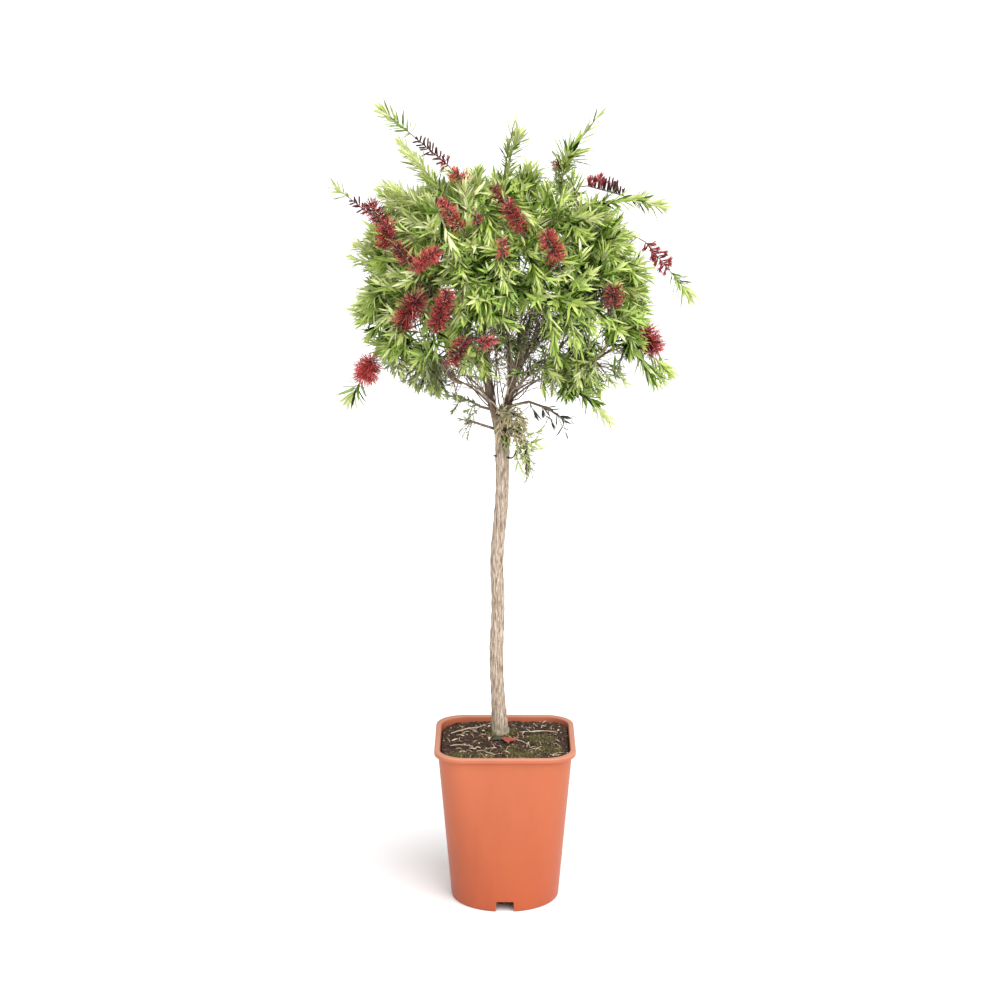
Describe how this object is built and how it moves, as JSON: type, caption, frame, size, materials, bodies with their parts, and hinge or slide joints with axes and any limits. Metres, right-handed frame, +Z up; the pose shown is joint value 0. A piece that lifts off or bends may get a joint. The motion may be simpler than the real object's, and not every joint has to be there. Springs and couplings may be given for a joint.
{
  "type": "potted half-standard bottlebrush shrub",
  "caption": "Potted half-standard shrub with a bare trunk, a loose leafy crown, red brush-shaped flowers and a square-topped plastic pot.",
  "frame": {"origin": "middle of the pot's flat underside, on the pot's upright axis", "axes": "+Z up the trunk, -Y towards the side seen in the picture, +X to the right of that view"},
  "size_m": [0.5483, 0.5369, 1.2492],
  "materials": {
    "terracotta_plastic": "moulded, satin",
    "compost": "moist, crumbly, with bark chips",
    "bark": "pale, finely ridged bark",
    "foliage": "leathery leaves, with red flower brushes"
  },
  "bodies": {
    "root": {"bough_crest_1": "bark", "bough_high_1": "bark", "bough_high_2": "bark", "bough_high_3": "bark", "bough_high_4": "bark", "bough_high_5": "bark", "bough_high_6": "bark", "bough_low_1": "bark", "bough_low_2": "bark", "bough_low_3": "bark", "bough_low_4": "bark", "bough_low_5": "bark", "bough_low_6": "bark", "bough_low_7": "bark", "bough_low_8": "bark", "bough_middle_1": "bark", "bough_middle_2": "bark", "bough_middle_3": "bark", "bough_middle_4": "bark", "bough_middle_5": "bark", "bough_middle_6": "bark", "bough_middle_7": "bark", "bough_middle_8": "bark", "bough_middle_9": "bark", "limb_left": "bark", "limb_right": "bark", "mass_crest_1": "foliage", "mass_high_1": "foliage", "mass_high_2": "foliage", "mass_high_3": "foliage", "mass_high_4": "foliage", "mass_high_5": "foliage", "mass_high_6": "foliage", "mass_low_1": "foliage", "mass_low_2": "foliage", "mass_low_3": "foliage", "mass_low_4": "foliage", "mass_low_5": "foliage", "mass_low_6": "foliage", "mass_low_7": "foliage", "mass_low_8": "foliage", "mass_middle_1": "foliage", "mass_middle_2": "foliage", "mass_middle_3": "foliage", "mass_middle_4": "foliage", "mass_middle_5": "foliage", "mass_middle_6": "foliage", "mass_middle_7": "foliage", "mass_middle_8": "foliage", "mass_middle_9": "foliage", "pot": "terracotta_plastic", "shoot_limb_left": "foliage", "shoot_limb_right": "foliage", "shoot_trunk_left": "foliage", "shoot_trunk_right": "foliage", "soil": "compost", "trunk": "bark"}
  },
  "joints": []
}
